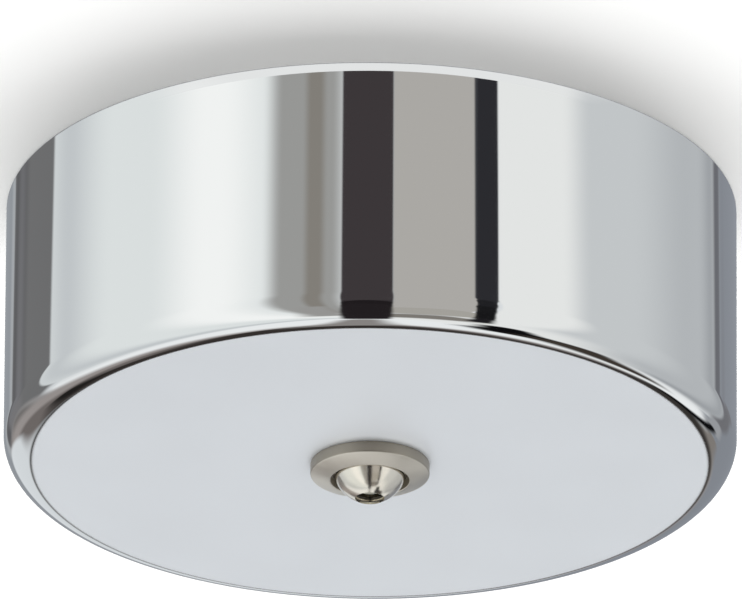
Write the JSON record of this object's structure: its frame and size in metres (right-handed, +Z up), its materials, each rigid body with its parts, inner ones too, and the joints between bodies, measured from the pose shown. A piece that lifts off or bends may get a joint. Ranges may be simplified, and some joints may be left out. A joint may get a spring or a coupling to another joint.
{
  "type": "electrical ceiling rose",
  "caption": "Cylindrical chrome ceiling rose: a drawn cup held by a hollow domed outlet screw under a slotted bracket with yoke, terminal block and earth terminal.",
  "frame": {"origin": "middle of the cup's rim, in the plane of the ceiling", "axes": "+Z up into the ceiling, +X along the ceiling bracket towards the terminal block"},
  "size_m": [0.12, 0.12, 0.0511],
  "materials": {
    "chrome_cup": "deep-drawn steel, polished and chrome-plated",
    "nickel_fitting": "turned brass, nickel-plated",
    "liner_plastic": "natural nylon",
    "zinc_sheet": "pressed sheet steel, zinc-plated",
    "zinc_fastener": "steel, zinc-plated",
    "grommet_rubber": "moulded black rubber",
    "brass_sleeve": "turned hexagon brass bar, bare",
    "brass_terminal": "turned brass tube",
    "brass_screw": "brass, bare",
    "block_plastic": "moulded polyamide, off-white"
  },
  "bodies": {
    "mounting": {"ceiling_bracket": "zinc_sheet", "cord_yoke": "zinc_sheet", "yoke_rivets": "zinc_fastener", "cable_grommet": "grommet_rubber", "outlet_sleeve": "brass_sleeve", "sleeve_toothed_washer": "zinc_fastener", "sleeve_locknut": "zinc_fastener", "terminal_block": "block_plastic", "terminal_tube_live": "brass_terminal", "terminal_tube_neutral": "brass_terminal", "terminal_tube_earth": "brass_terminal", "terminal_screws": "zinc_fastener", "block_screws": "zinc_fastener", "block_nuts": "zinc_fastener", "earth_screw": "brass_screw", "earth_clamp_plate": "brass_screw", "earth_toothed_washer": "zinc_fastener", "earth_nut": "brass_screw"},
    "cover": {"cup": "chrome_cup", "outlet_flange": "nickel_fitting"},
    "outlet": {"outlet_screw": "nickel_fitting", "screw_liner": "liner_plastic"}
  },
  "joints": [
    {"name": "cover_lower", "type": "slide", "parent": "mounting", "child": "cover", "axis": [0, 0, -1], "range_m": [0, 0.012]},
    {"name": "outlet_screw_turn", "type": "hinge", "parent": "cover", "child": "outlet", "pos_m": [0, 0, -0.05], "axis": [0, 0, -1], "range_deg": [0, 4320]}
  ],
  "couplings": [
    {"joint": "outlet_screw_turn", "follows": "cover_lower", "rad_per_m": 6283.2}
  ]
}
